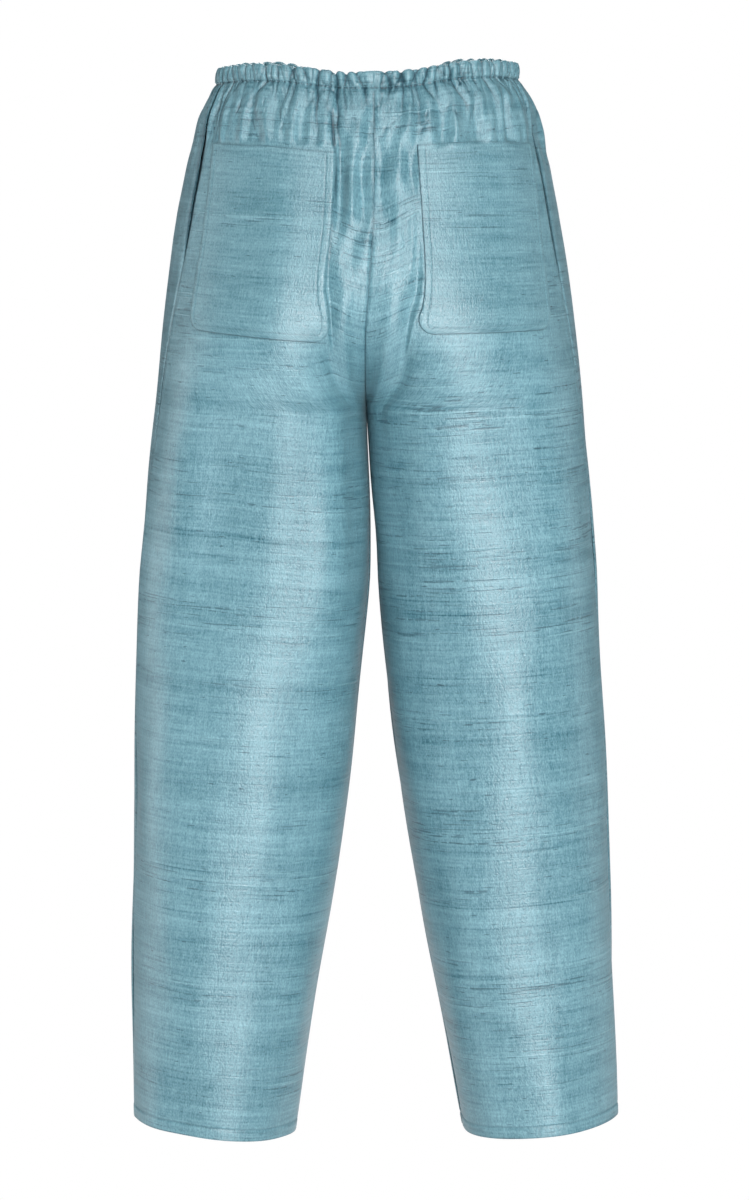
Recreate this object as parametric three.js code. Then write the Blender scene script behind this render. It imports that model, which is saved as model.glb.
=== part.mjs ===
// Pull-on wide-leg trousers of slubby silk, in the round shape that they have when worn, and empty.
// Millimetres, +Z up. The front faces -Y and the wearer's left is +X. The origin is the middle of the
// waist opening, half way up the waist casing.
//
// All pieces come from one outer surface. Each leg is a tube with a rounded section. Going up past the
// fork, the two tubes move in towards the body's middle plane and are cut there, which gives the crotch
// curve, until they are the two halves of one oval at the hips. "drop" is the distance down from the
// casing's top edge, and "turn" is the angle round a tube: 0 is outermost, positive goes to the back.
import * as THREE from "three";

// Cloth
const CLOTH = 1.6; // wall of a panel
const CASING_WALL = 3; // folded cloth over the elastic
const HEM_WALL = 2.6; // three layers at the turned hem
const POCKET_WALL = 1.4;
const BAG_WALL = 2.4; // both layers of a pocket bag
const SEAM_GAP = 0.3;
const LIE_GAP = 0.7; // between a panel and what lies on it

// Heights, as drops from the casing's top edge
const CASING = 19;
const SPLIT = 150; // where the one oval starts to become two tubes
const FORK = 322;
const HEM_FOLD = 1019;
const HEM = 1031;

// The waist's edge
const WAIST_TOP = CASING / 2;
const SIDE_DIP = 4; // below the highest points, which stand between side and middle
const BACK_DIP = 8;
const FRONT_DIP = 15;
const WAIST_LEAN = 0.017; // the wearer's right side stands a little higher
const DIP_FADE = 180;

// Outer surface by drop: the outermost and innermost x of each tube (above the fork the innermost is the
// centre seam), the y of its back, front and widest point, and the rise of a weft towards the outside.
const SECTIONS = [
  { drop: 0, outL: 140, inL: -6, inR: -6, outR: -140.5, back: 97, front: -95, wide: 0, rise: 0 },
  { drop: 19, outL: 144.5, inL: -6, inR: -6, outR: -143.5, back: 98, front: -96, wide: 0, rise: 0 },
  { drop: 35, outL: 152.5, inL: -6, inR: -6, outR: -152, back: 105, front: -101, wide: 1, rise: 0 },
  { drop: 50, outL: 159.5, inL: -6, inR: -6, outR: -158, back: 110, front: -104, wide: 2, rise: 0 },
  { drop: 75, outL: 165.5, inL: -6, inR: -6, outR: -164.5, back: 117, front: -107, wide: 3, rise: 0 },
  { drop: 100, outL: 171.2, inL: -5.8, inR: -5.8, outR: -171.2, back: 123, front: -110, wide: 4, rise: 0 },
  { drop: 150, outL: 180.8, inL: -5, inR: -5, outR: -180.8, back: 132, front: -113, wide: 6, rise: 0 },
  { drop: 200, outL: 187.6, inL: -1.5, inR: -1.5, outR: -189, back: 138, front: -115, wide: 8, rise: 0.005 },
  { drop: 250, outL: 193.5, inL: 2, inR: 2, outR: -195.4, back: 137, front: -115, wide: 8, rise: 0.012 },
  { drop: 322, outL: 200.6, inL: 2, inR: 2, outR: -203, back: 127, front: -113, wide: 7, rise: 0.025 },
  { drop: 360, outL: 205.3, inL: 0.6, inR: 0, outR: -206.6, back: 120, front: -111, wide: 6, rise: 0.03 },
  { drop: 400, outL: 209.5, inL: -1.8, inR: -3, outR: -210.6, back: 114, front: -109, wide: 5, rise: 0.035 },
  { drop: 450, outL: 213, inL: -2.8, inR: -9, outR: -214.8, back: 109, front: -107, wide: 4, rise: 0.04 },
  { drop: 500, outL: 217, inL: -1.8, inR: -12.3, outR: -219, back: 105, front: -105, wide: 3, rise: 0.045 },
  { drop: 600, outL: 221.6, inL: 9.4, inR: -20, outR: -223.6, back: 100, front: -101, wide: 1, rise: 0.05 },
  { drop: 700, outL: 224.3, inL: 21.2, inR: -32.7, outR: -228.2, back: 97, front: -96, wide: 0, rise: 0.06 },
  { drop: 800, outL: 225.8, inL: 34.8, inR: -49, outR: -231.6, back: 94, front: -91, wide: 0, rise: 0.07 },
  { drop: 900, outL: 226.5, inL: 51, inR: -67.8, outR: -235, back: 91, front: -86, wide: 1, rise: 0.08 },
  { drop: 1031, outL: 226, inL: 69.8, inR: -91, outR: -241, back: 89, front: -81, wide: 3, rise: 0.1 },
];
// Turn of each side seam, in degrees
const SIDE_SEAMS = [
  { drop: 0, seamL: 14, seamR: 12 },
  { drop: 35, seamL: 19, seamR: 15 },
  { drop: 75, seamL: 23, seamR: 20 },
  { drop: 150, seamL: 24, seamR: 21 },
  { drop: 250, seamL: 23, seamR: 20 },
  { drop: 322, seamL: 20, seamR: 17 },
  { drop: 400, seamL: 16, seamR: 13 },
  { drop: 500, seamL: 12, seamR: 10 },
  { drop: 600, seamL: 11, seamR: 9 },
  { drop: 1031, seamL: 11, seamR: 9 },
];
const SQUARE = 2.15; // exponent of the rounded section, where 2 is an ellipse
const CROTCH_ROUND = 1.8; // 1 gives a round crotch curve and 2 a pointed one

// Gathers under the elastic: one fine wave for each gather, and a broad one for every second.
const WAVES = { back: 9, front: 11 };
const COLUMNS_PER_WAVE = 4;
const FINE = { casing: 1.3, below: 2.4, full: 30, reachSide: 52, reachCentre: 88 };
const BROAD = { depth: 2.6, start: 20, full: 46, reachSide: 84, reachCentre: 165 };
const UNEVEN = { depth: 0.35, spacing: 0.012, full: 60, end: 150 };

// Single folds, by the panel they are on: at is the share of the way from side seam to centre seam, lean
// the change of that share down the fold, depth is inwards and a ridge has a negative one.
const FOLDS = [
  { panel: "back_left", at: 0.87, lean: 0.01, width: 9, depth: 5, from: 8, to: 150 },
  { panel: "back_left", at: 0.725, lean: 0.015, width: 6, depth: 3.5, from: 14, to: 76 },
  { panel: "back_left", at: 0.46, lean: -0.18, width: 6, depth: 3, from: 17, to: 50 },
  { panel: "back_left", at: 0.4, lean: 0.03, width: 12, depth: 3, from: 20, to: 72 },
  { panel: "back_left", at: 0.62, lean: -0.05, width: 6, depth: 3, from: 12, to: 50 },
  { panel: "back_left", at: 0.96, lean: 0.02, width: 6, depth: 3, from: 6, to: 60 },
  { panel: "back_left", at: 0.24, lean: 0.02, width: 32, depth: 3, from: 280, to: 640 },
  { panel: "back_right", at: 0.975, lean: 0, width: 8, depth: 5, from: 26, to: 205 },
  { panel: "back_right", at: 0.895, lean: -0.01, width: 8, depth: 3.5, from: 10, to: 62 },
  { panel: "back_right", at: 0.89, lean: 0.07, width: 8, depth: -4, from: 50, to: 150 },
  { panel: "back_right", at: 0.765, lean: -0.08, width: 6, depth: 3.5, from: 14, to: 58 },
  { panel: "back_right", at: 0.66, lean: -0.16, width: 7, depth: 3.5, from: 17, to: 64 },
  { panel: "back_right", at: 0.42, lean: -0.06, width: 6, depth: 3, from: 17, to: 52 },
  { panel: "back_right", at: 0.3, lean: -0.13, width: 6, depth: 3, from: 17, to: 50 },
  { panel: "back_right", at: 0.76, lean: 0.02, width: 28, depth: 3, from: 340, to: 690 },
  { panel: "front_left", at: 0.87, lean: 0.03, width: 8, depth: 5, from: 10, to: 140 },
  { panel: "front_left", at: 0.62, lean: -0.03, width: 9, depth: 4, from: 16, to: 120 },
  { panel: "front_left", at: 0.35, lean: -0.05, width: 10, depth: 4, from: 20, to: 96 },
  { panel: "front_left", at: 0.55, lean: 0.02, width: 30, depth: 3, from: 300, to: 700 },
  { panel: "front_right", at: 0.92, lean: 0.01, width: 7, depth: 5, from: 14, to: 170 },
  { panel: "front_right", at: 0.72, lean: -0.04, width: 8, depth: 4, from: 12, to: 104 },
  { panel: "front_right", at: 0.45, lean: -0.05, width: 9, depth: 4, from: 18, to: 110 },
  { panel: "front_right", at: 0.6, lean: -0.02, width: 28, depth: 3, from: 340, to: 720 },
];

// Patch pockets: outer and inner edges as shares of the way from side seam to centre seam, and the drops of
// the top and foot at the outer edge, with how much further down each is at the inner edge.
const PATCHES = [
  {
    panel: "back_left",
    outerTop: 0.11,
    outerFoot: 0.18,
    innerTop: 0.838,
    innerFoot: 0.835,
    top: 74.5,
    topSlope: 4,
    foot: 249,
    footSlope: 7,
  },
  {
    panel: "back_right",
    outerTop: 0.072,
    outerFoot: 0.18,
    innerTop: 0.815,
    innerFoot: 0.79,
    top: 77.5,
    topSlope: -5,
    foot: 249,
    footSlope: 0,
  },
];
const PATCH_CORNER = 18;
// Where the cloth starts to lie flat and does so, before a pocket's edges, in shares and in drops
const FLAT = { outer: [0.1, 0.03], inner: [0.01, 0.03], top: [22, 4], foot: [0, 40] };

// Mouths and bags of the side seam pockets
const MOUTH = { top: 66, foot: 212, open: 1.9 };
const BAG = { top: 62, foot: 306, behind: 4, reach: 62, corner: 55, clearTop: 8, clear: 1.2 };

// Mesh rows of a panel: each band starts at a drop and has its own rows and columns.
const GATHER_ROWS = [CASING + SEAM_GAP, 26, 36, 50, 68, 90];
const HIP_ROWS = [115, 145, 172, 195, 214, 230, 246, 260];
const FORK_ROWS = [275, 287, 302, 312, 318, 321, FORK];
const LEG_ROWS = [350, 385, 430, 480, 540, 600, 660, 720, 780, 840, 900, 960, HEM_FOLD, HEM];
const HIP_COLUMNS = 20;
const LEG_COLUMNS = 14;
const PATCH_COLUMNS = 15;
const BAG_COLUMNS = 10;

const BACK = 1;
const FRONT = -1;
const LEFT = 1;
const RIGHT = -1;
const PANELS = [
  { name: "back_left", side: LEFT, face: BACK, seed: 0.4 },
  { name: "back_right", side: RIGHT, face: BACK, seed: 2.1 },
  { name: "front_left", side: LEFT, face: FRONT, seed: 3.6 },
  { name: "front_right", side: RIGHT, face: FRONT, seed: 5.2 },
];

const silk = (color) =>
  new THREE.MeshStandardMaterial({ color, roughness: 0.42, metalness: 0, side: THREE.DoubleSide });
const PANEL_SILK = silk(0x84b4c0);
const CASING_SILK = silk(0x7eafbb);
const POCKET_SILK = silk(0x80adba);

const clamp01 = (x) => Math.min(1, Math.max(0, x));
const mix = (a, b, share) => a + (b - a) * share;
const degrees = THREE.MathUtils.degToRad;

function smooth(low, high, x) {
  const t = clamp01((x - low) / (high - low));
  return t * t * (3 - 2 * t);
}

// A table's column at any drop: a cubic through the rows, with its slopes from the rows beside.
function section(column, drop) {
  const table = column in SECTIONS[0] ? SECTIONS : SIDE_SEAMS;
  const last = table.length - 1;
  let i = 0;
  while (i < last - 1 && table[i + 1].drop < drop) i++;
  const slope = (k) => {
    const a = table[Math.max(0, k - 1)];
    const b = table[Math.min(last, k + 1)];
    return (b[column] - a[column]) / (b.drop - a.drop);
  };
  const [a, b] = [table[i], table[i + 1]];
  const length = b.drop - a.drop;
  const t = clamp01((drop - a.drop) / length);
  const s = 1 - t;
  return (
    a[column] * (1 + 2 * t) * s * s +
    b[column] * t * t * (3 - 2 * t) +
    slope(i) * length * t * s * s -
    slope(i + 1) * length * t * t * s
  );
}

// One tube's section: its centre, half width and the turn at which the middle plane or the inseam ends it.
function tube(side, drop) {
  const outer = section(side === LEFT ? "outL" : "outR", drop);
  const inner = section(side === LEFT ? "inL" : "inR", drop);
  const toFork = clamp01((drop - SPLIT) / (FORK - SPLIT));
  const split = 1 - Math.pow(1 - toFork * toFork, CROTCH_ROUND);
  const halfWidth = Math.abs(outer - inner) / (1 + split);
  return {
    halfWidth,
    centre: inner + side * halfWidth * split,
    inner,
    endTurn: Math.acos(-Math.pow(split, SQUARE / 2)),
    seamTurn: degrees(section(side === LEFT ? "seamL" : "seamR", drop)),
  };
}

const rounded = (x) => Math.sign(x) * Math.pow(Math.abs(x), 2 / SQUARE);

// The smooth surface, before gathers and folds.
function bodyPoint(side, turn, drop) {
  const t = tube(side, drop);
  const wide = section("wide", drop);
  const depth = turn > 0 ? section("back", drop) - wide : wide - section("front", drop);
  const x = t.centre + side * (t.halfWidth * rounded(Math.cos(turn)) + SEAM_GAP / 2);
  const y = wide + depth * rounded(Math.sin(turn));
  const middleDip = turn > 0 ? BACK_DIP : FRONT_DIP;
  const toMiddle = smooth(degrees(50), degrees(88), Math.abs(turn));
  const dip = middleDip * toMiddle + SIDE_DIP * (1 - smooth(0, degrees(40), Math.abs(turn)));
  const waist = 1 - smooth(0, DIP_FADE, drop);
  const z = WAIST_TOP - drop + section("rise", drop) * Math.abs(x) - (dip + WAIST_LEAN * x) * waist;
  return new THREE.Vector3(x, y, z);
}

// Half the slit at the side seam, which opens along the pocket's mouth.
function seamHalfGap(drop) {
  const along = clamp01((drop - MOUTH.top) / (MOUTH.foot - MOUTH.top));
  return (SEAM_GAP + MOUTH.open * Math.pow(Math.sin(Math.PI * along), 0.7)) / 2;
}

// The turn at a share of a panel's way from side seam (0) to centre seam or inseam (1).
function panelTurn(panel, share, drop) {
  const t = tube(panel.side, drop);
  const depth = Math.abs(section(panel.face === BACK ? "back" : "front", drop));
  const start = t.seamTurn + (panel.face * seamHalfGap(drop)) / depth;
  const end = panel.face * Math.min(t.endTurn, Math.PI - SEAM_GAP / 2 / depth);
  const spacing = UNEVEN.spacing * (1 - smooth(UNEVEN.full, UNEVEN.end, drop));
  const fast = Math.sin(14 * Math.PI * share + panel.seed) * Math.sin(Math.PI * share);
  return mix(start, end, share + spacing * (Math.sin(6 * Math.PI * share) + fast));
}

// Length of cloth across a panel, near enough for the widths of folds.
function panelWidth(panel, drop) {
  const t = tube(panel.side, drop);
  const depth = Math.abs(section(panel.face === BACK ? "back" : "front", drop));
  return ((t.halfWidth + depth) / 2) * Math.abs(panelTurn(panel, 1, drop) - t.seamTurn);
}

// How flat a patch pocket holds the cloth: 1 under the pocket and 0 away from it.
function heldFlat(panel, share, drop) {
  const patch = PATCHES.find((p) => p.panel === panel.name);
  if (!patch) return 0;
  const fromSide = smooth(patch.outerTop - FLAT.outer[0], patch.outerTop - FLAT.outer[1], share);
  const toCentre = 1 - smooth(patch.innerTop - FLAT.inner[0], patch.innerTop + FLAT.inner[1], share);
  const fromTop = smooth(patch.top - FLAT.top[0], patch.top - FLAT.top[1], drop);
  const toFoot = 1 - smooth(patch.foot + FLAT.foot[0], patch.foot + FLAT.foot[1], drop);
  return fromSide * toCentre * fromTop * toFoot;
}

// How far gathers and folds move the cloth in.
function foldDepth(panel, share, drop) {
  const waves = panel.face === BACK ? WAVES.back : WAVES.front;
  const away = share * share;
  const uneven = 1 + UNEVEN.depth * Math.sin(9 * share + panel.seed) * Math.sin(Math.PI * share);
  const fineSize = mix(FINE.casing, FINE.below, smooth(CASING, FINE.full, drop));
  const fineEnd = mix(FINE.reachSide, FINE.reachCentre, away);
  const fine = fineSize * (1 - smooth(FINE.full, fineEnd, drop)) * Math.cos(2 * Math.PI * waves * share);
  const broadEnd = mix(BROAD.reachSide, BROAD.reachCentre, away);
  const broadFade = smooth(BROAD.start, BROAD.full, drop) * (1 - smooth(BROAD.full, broadEnd, drop));
  const broad = BROAD.depth * broadFade * Math.cos(Math.PI * (waves - 1) * share);
  let depth = uneven * (fine + broad);
  for (const fold of FOLDS.filter((f) => f.panel === panel.name)) {
    const along = clamp01((drop - fold.from) / (fold.to - fold.from));
    const across = ((share - fold.at - fold.lean * along) * panelWidth(panel, drop)) / fold.width;
    depth += fold.depth * Math.pow(Math.sin(Math.PI * Math.sqrt(along)), 2) * Math.exp(-across * across);
  }
  return depth * (1 - heldFlat(panel, share, drop));
}

// A vector across the surface, pointing out, from the points beside.
function outward(side, point, a, b, step) {
  const across = point(a + step, b).sub(point(a - step, b));
  const down = point(a, b + 1).sub(point(a, b - 1));
  return down.cross(across).multiplyScalar(side).normalize();
}

// The cloth's outer surface on a panel, and what lies under it by a depth or on it by a negative one.
function clothPoint(panel, share, drop, under = 0) {
  const turn = (s) => panelTurn(panel, s, drop);
  const smoothNormal = outward(panel.side, (s, d) => bodyPoint(panel.side, s, d), turn(share), drop, 0.01);
  const place = (s, d) => {
    const p = bodyPoint(panel.side, panelTurn(panel, s, d), d);
    return p.addScaledVector(smoothNormal, -foldDepth(panel, s, d));
  };
  const p = place(share, drop);
  if (under !== 0) {
    const normal = outward(panel.side * panel.face, place, share, drop, 0.004);
    const atCentre = share > 0.999 && drop < FORK;
    if (atCentre) normal.x = -panel.side * Math.max(0, -panel.side * normal.x);
    p.addScaledVector(normal.normalize(), -under);
  }
  const plane = section(panel.side === LEFT ? "inL" : "inR", drop) + (panel.side * SEAM_GAP) / 2;
  if (panel.side * (p.x - plane) < 0) p.x = plane;
  return p;
}

// Triangles between two rows of points that may differ in number, both spread over the same width.
function stitch(rowA, rowB, triangles) {
  let i = 0;
  let j = 0;
  while (i < rowA.length - 1 || j < rowB.length - 1) {
    const nextA = (i + 1) / (rowA.length - 1);
    const nextB = (j + 1) / (rowB.length - 1);
    if (j === rowB.length - 1 || (i < rowA.length - 1 && nextA <= nextB)) {
      triangles.push(rowA[i], rowA[i + 1], rowB[j]);
      i++;
    } else {
      triangles.push(rowA[i], rowB[j + 1], rowB[j]);
      j++;
    }
  }
}

// A closed wall from rows of outer points and the matching rows of inner points. A ring's rows close.
function wall(outerRows, innerRows, ring = false) {
  const points = [];
  const indexed = (rows) =>
    rows.map((row) => {
      const ids = row.map((p) => points.push(p) - 1);
      return ring ? [...ids, ids[0]] : ids;
    });
  const outer = indexed(outerRows);
  const inner = indexed(innerRows);
  const triangles = [];
  for (let r = 0; r + 1 < outer.length; r++) {
    stitch(outer[r], outer[r + 1], triangles);
    stitch(inner[r + 1], inner[r], triangles);
  }
  stitch(inner[0], outer[0], triangles);
  stitch(outer[outer.length - 1], inner[inner.length - 1], triangles);
  if (!ring) {
    const edge = (rows, k) => rows.map((row) => row.at(k));
    stitch(edge(outer, 0), edge(inner, 0), triangles);
    stitch(edge(inner, -1), edge(outer, -1), triangles);
  }
  if (signedVolume(points, triangles) < 0) triangles.reverse();
  return new THREE.BufferGeometry().setFromPoints(points).setIndex(triangles);
}

function signedVolume(points, triangles) {
  let sum = 0;
  for (let k = 0; k < triangles.length; k += 3) {
    const [a, b, c] = [points[triangles[k]], points[triangles[k + 1]], points[triangles[k + 2]]];
    sum += a.dot(b.clone().cross(c));
  }
  return sum;
}

const shares = (count) => Array.from({ length: count + 1 }, (_, i) => i / count);

// A front or back panel, waist seam to hem. Its columns get fewer where the gathers have died out.
function panelGeometry(panel) {
  const gatherColumns = COLUMNS_PER_WAVE * (panel.face === BACK ? WAVES.back : WAVES.front);
  const rows = [
    ...GATHER_ROWS.map((drop) => ({ drop, columns: gatherColumns })),
    ...HIP_ROWS.map((drop) => ({ drop, columns: HIP_COLUMNS })),
    ...[...FORK_ROWS, ...LEG_ROWS].map((drop) => ({ drop, columns: LEG_COLUMNS })),
  ];
  const outer = rows.map(({ drop, columns }) => shares(columns).map((s) => clothPoint(panel, s, drop)));
  const inner = rows.map(({ drop, columns }) => {
    const thick = drop > HEM_FOLD ? HEM_WALL : CLOTH;
    return shares(columns).map((s) => clothPoint(panel, s, drop, thick));
  });
  return wall(outer, inner);
}

// The waist casing, one ring through the tops of all four panels.
function casingGeometry() {
  const rows = [
    { drop: 0, inset: 0.9 },
    { drop: 2, inset: 0 },
    { drop: CASING / 2, inset: 0 },
    { drop: CASING - 2, inset: 0 },
    { drop: CASING, inset: 0.7 },
  ];
  const [backLeft, backRight, frontLeft, frontRight] = PANELS;
  const quarters = [
    { panel: backLeft, fromSeam: true },
    { panel: backRight, fromSeam: false },
    { panel: frontRight, fromSeam: true },
    { panel: frontLeft, fromSeam: false },
  ];
  const ring = (drop, under) =>
    quarters.flatMap(({ panel, fromSeam }) => {
      const count = COLUMNS_PER_WAVE * (panel.face === BACK ? WAVES.back : WAVES.front);
      const steps = shares(count).slice(0, -1);
      return steps.map((s) => clothPoint(panel, fromSeam ? s : 1 - s, drop, under));
    });
  const outer = rows.map(({ drop, inset }) => ring(drop, inset));
  const inner = rows.map(({ drop, inset }) => ring(drop, CASING_WALL - inset));
  return wall(outer, inner, true);
}

// How much a round corner takes off each side, at a height above the foot.
function cornerInset(radius, aboveFoot) {
  const up = Math.min(radius, aboveFoot);
  return radius - Math.sqrt(radius * radius - (radius - up) ** 2);
}

// A patch pocket, made from its panel's points moved out.
function patchGeometry(patch) {
  const panel = PANELS.find((p) => p.name === patch.panel);
  const height = patch.foot - patch.top;
  const cornerSteps = [1, 0.55, 0.22, 0.06, 0].map((k) => 1 - (k * PATCH_CORNER) / height);
  const downs = [0, 0.15, 0.3, 0.45, 0.58, 0.7, 0.82, ...cornerSteps];
  const grid = (under) =>
    downs.map((down) => {
      const middle = mix(patch.top, patch.foot, down);
      const inset = cornerInset(PATCH_CORNER, (1 - down) * height) / panelWidth(panel, middle);
      const from = mix(patch.outerTop, patch.outerFoot, down) + inset;
      const to = mix(patch.innerTop, patch.innerFoot, down) - inset;
      return shares(PATCH_COLUMNS).map((s) => {
        const drop = mix(patch.top + patch.topSlope * s, patch.foot + patch.footSlope * s, down);
        return clothPoint(panel, mix(from, to, s), drop, under);
      });
    });
  return wall(grid(-LIE_GAP - POCKET_WALL), grid(-LIE_GAP));
}

// The bag of a side seam pocket: it closes the mouth from inside and hangs against the front panel.
function bagGeometry(side) {
  const panel = PANELS.find((p) => p.side === side && p.face === FRONT);
  const height = BAG.foot - BAG.top;
  const cornerSteps = [1, 0.6, 0.3, 0.1, 0].map((k) => 1 - (k * BAG.corner) / height);
  const downs = [0, 0.2, 0.4, 0.6, ...cornerSteps];
  const grid = (under) =>
    downs.map((down) => {
      const drop = mix(BAG.top, BAG.foot, down);
      const inset = cornerInset(BAG.corner, (1 - down) * height);
      const { seamTurn, halfWidth } = tube(side, drop);
      const from = seamTurn + degrees(BAG.behind);
      const to = seamTurn - degrees(BAG.reach) + inset / halfWidth;
      const inside = CLOTH + mix(BAG.clearTop, BAG.clear, smooth(0, 0.4, down));
      return shares(BAG_COLUMNS).map((s) => {
        const turn = mix(from, to, s);
        const normal = outward(side, (t, d) => bodyPoint(side, t, d), turn, drop, 0.01);
        return bodyPoint(side, turn, drop).addScaledVector(normal, -inside - under);
      });
    });
  return wall(grid(0), grid(BAG_WALL));
}

const trousers = new THREE.Group();
function add(name, geometry, material) {
  const mesh = new THREE.Mesh(geometry, material);
  mesh.name = name;
  trousers.add(mesh);
}

add("waistband", casingGeometry(), CASING_SILK);
for (const panel of PANELS) add(panel.name, panelGeometry(panel), PANEL_SILK);
for (const patch of PATCHES) {
  add(patch.panel.replace("back_", "back_pocket_"), patchGeometry(patch), POCKET_SILK);
}
add("side_pocket_bag_left", bagGeometry(LEFT), POCKET_SILK);
add("side_pocket_bag_right", bagGeometry(RIGHT), POCKET_SILK);

export default trousers;
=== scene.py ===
import math

import bpy
import numpy as np
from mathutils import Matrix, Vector


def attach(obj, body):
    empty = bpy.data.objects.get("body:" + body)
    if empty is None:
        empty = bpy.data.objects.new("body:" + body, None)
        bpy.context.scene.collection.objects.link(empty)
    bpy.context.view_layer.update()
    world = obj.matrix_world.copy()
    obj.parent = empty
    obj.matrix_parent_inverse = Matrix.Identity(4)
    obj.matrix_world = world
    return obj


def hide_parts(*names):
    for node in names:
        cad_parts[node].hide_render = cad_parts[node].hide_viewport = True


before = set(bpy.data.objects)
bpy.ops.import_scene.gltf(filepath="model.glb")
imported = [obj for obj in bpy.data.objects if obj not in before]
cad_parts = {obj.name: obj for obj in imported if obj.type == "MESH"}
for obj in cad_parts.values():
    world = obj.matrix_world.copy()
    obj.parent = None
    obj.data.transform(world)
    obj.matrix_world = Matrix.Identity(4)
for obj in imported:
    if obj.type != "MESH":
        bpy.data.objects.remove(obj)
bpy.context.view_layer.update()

# ---------------------------------------------------------------- studio
# The trousers hang in the round with nobody in them, seen from behind and from about waist height, over a
# plain pale floor. One tall softbox stands beside the camera, a broad one above it, a narrow one at each
# side, and one high on the far side.
EYE = Vector((-0.0062, 4.3, 0.06))
AIM = Vector((-0.0062, 0.0, -0.5021))
LENS = 136.4
LIGHTS_AIM = (0, 0, -0.5)
FLOOR_DROP, FLOOR_HALF = 1.36, 40


def turned_to(at, aim):
    return (Vector(aim) - Vector(at)).to_track_quat("-Z", "Y").to_euler()


camera_data = bpy.data.cameras.new("camera")
camera_data.lens = LENS
camera = bpy.data.objects.new("camera", camera_data)
camera.location = EYE
camera.rotation_euler = turned_to(EYE, AIM)
bpy.context.scene.collection.objects.link(camera)
bpy.context.scene.camera = camera
bpy.context.scene.view_settings.view_transform = "Standard"


def softbox(name, bearing, distance, height, width, tall, watts):
    """A lit panel. bearing is in degrees from the camera's side, positive towards the wearer's right."""
    angle = math.radians(bearing)
    at = Vector((-math.sin(angle) * distance, math.cos(angle) * distance, height))
    light = bpy.data.lights.new(name, "AREA")
    light.shape = "RECTANGLE"
    light.size, light.size_y, light.energy = width, tall, watts
    box = bpy.data.objects.new(name, light)
    box.location = at
    box.rotation_euler = turned_to(at, LIGHTS_AIM)
    bpy.context.scene.collection.objects.link(box)


softbox("key_softbox", 10, 3.4, -0.2, 0.9, 2.7, 114)
softbox("top_softbox", 8, 2.4, 2.1, 1.2, 0.9, 31)
softbox("rim_softbox_left", -98, 2.6, -0.4, 0.6, 2.0, 17)
softbox("rim_softbox_right", 104, 2.6, -0.4, 0.5, 2.0, 5)
softbox("front_softbox", 180, 2.6, 2.0, 1.4, 0.9, 85)


def node(tree, kind, inputs=None, **settings):
    """A shader node with its settings, and with each named input set to a value or joined to an output."""
    made = tree.nodes.new(kind)
    for setting, value in settings.items():
        setattr(made, setting, value)
    for socket, value in (inputs or {}).items():
        if isinstance(value, bpy.types.NodeSocket):
            tree.links.new(value, made.inputs[socket])
        else:
            made.inputs[socket].default_value = value
    return made


def lit_or_seen(tree, lit, seen):
    """One shader for the light that falls on the object, and another for the camera."""
    camera_ray = node(tree, "ShaderNodeLightPath").outputs["Is Camera Ray"]
    return node(tree, "ShaderNodeMixShader", {0: camera_ray, 1: lit.outputs[0], 2: seen.outputs[0]}).outputs[0]


world = bpy.data.worlds.new("studio")
world.use_nodes = True
sky_tree = world.node_tree
sky_tree.nodes.clear()
room = node(sky_tree, "ShaderNodeBackground", {"Color": (0.93, 0.96, 1, 1), "Strength": 0.18})
paper = node(sky_tree, "ShaderNodeBackground", {"Color": (1, 1, 1, 1), "Strength": 1.0})
node(sky_tree, "ShaderNodeOutputWorld", {"Surface": lit_or_seen(sky_tree, room, paper)})
bpy.context.scene.world = world

floor_mesh = bpy.data.meshes.new("floor")
corners = [(-1, -1), (1, -1), (1, 1), (-1, 1)]
floor_mesh.from_pydata([(x * FLOOR_HALF, y * FLOOR_HALF, -FLOOR_DROP) for x, y in corners], [], [(0, 1, 2, 3)])
floor = bpy.data.objects.new("floor", floor_mesh)
bpy.context.scene.collection.objects.link(floor)
floor_paint = bpy.data.materials.new("floor_paint")
floor_paint.use_nodes = True
floor_tree = floor_paint.node_tree
floor_tree.nodes.clear()
floor_lit = node(floor_tree, "ShaderNodeBsdfDiffuse", {"Color": (0.85, 0.86, 0.87, 1)})
floor_white = node(floor_tree, "ShaderNodeEmission", {"Color": (1, 1, 1, 1), "Strength": 1.0})
node(floor_tree, "ShaderNodeOutputMaterial", {"Surface": lit_or_seen(floor_tree, floor_lit, floor_white)})
floor_mesh.materials.append(floor_paint)

# ---------------------------------------------------------------- front and back panels
# Four panels of plain-woven raw silk, whose weft is full of slubs. Each runs from the waist to the turned
# hem. The centre seams, the crotch, the inseams and the side seams join them, and elastic gathers their tops.
MM = 0.001
LEFT, RIGHT = 1, -1
BACK, FRONT = 1, -1
PANELS = {
    "back_left": {"side": LEFT, "face": BACK, "seed": 4},
    "back_right": {"side": RIGHT, "face": BACK, "seed": 21},
    "front_left": {"side": LEFT, "face": FRONT, "seed": 36},
    "front_right": {"side": RIGHT, "face": FRONT, "seed": 52},
}
# The drops of the casing's foot, of where the legs start to part and have parted, and of the hem's edge. The
# hem is turned up as far as HEM_TURN and stitched along it at HEM_ROW, and the casing at STITCH_ROW.
CASING, SPLIT, FORK, HEM = 19.0, 150.0, 322.0, 1031.0
HEM_TURN, HEM_ROW, STITCH_ROW = HEM - 11, HEM - 11.5, 16.5
# How thick the cloth is, how thick the turned hem, and a panel's usual width.
CLOTH, HEM_CLOTH, PANEL_WIDTH = 0.8, 1.6, 240
# The waist's top edge over the origin, its dips at the sides, back and front, its lean, and where they fade.
WAIST_TOP, SIDE_DIP, BACK_DIP, FRONT_DIP, WAIST_LEAN, DIP_FADE = 9.5, 4.0, 8.0, 15.0, 0.017, 180.0
SIDE_DIP_END, DIP_START, DIP_FULL = (math.radians(turn) for turn in (40, 50, 88))
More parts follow.
